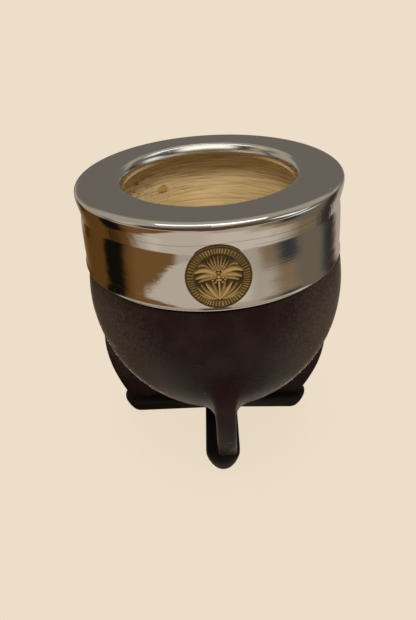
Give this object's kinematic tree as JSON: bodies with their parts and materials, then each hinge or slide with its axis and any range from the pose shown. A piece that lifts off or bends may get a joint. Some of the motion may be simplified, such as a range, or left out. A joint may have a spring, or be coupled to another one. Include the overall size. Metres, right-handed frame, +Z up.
{
  "type": "mate gourd cup",
  "caption": "Round gourd drinking cup in dark leather with a wide polished metal collar, a brass medallion and leather legs on a cross-shaped sole.",
  "frame": {"origin": "centre of the bounding box on the floor plane, under the cup's axis", "axes": "+Z up along the cup's axis, -Y towards the front leg and the medallion, +X to the right"},
  "size_m": [0.0989, 0.099, 0.1112],
  "materials": {
    "gourd": "dry matt gourd wall with fine rings",
    "leather": "waxed, soft sheen",
    "sole_leather": "matt",
    "steel": "polished",
    "brass": "antique, dark in its hollows"
  },
  "bodies": {
    "root": {"gourd": "gourd", "leather_cover": "leather", "sole": "sole_leather", "collar": "steel", "medallion": "brass"}
  },
  "joints": []
}
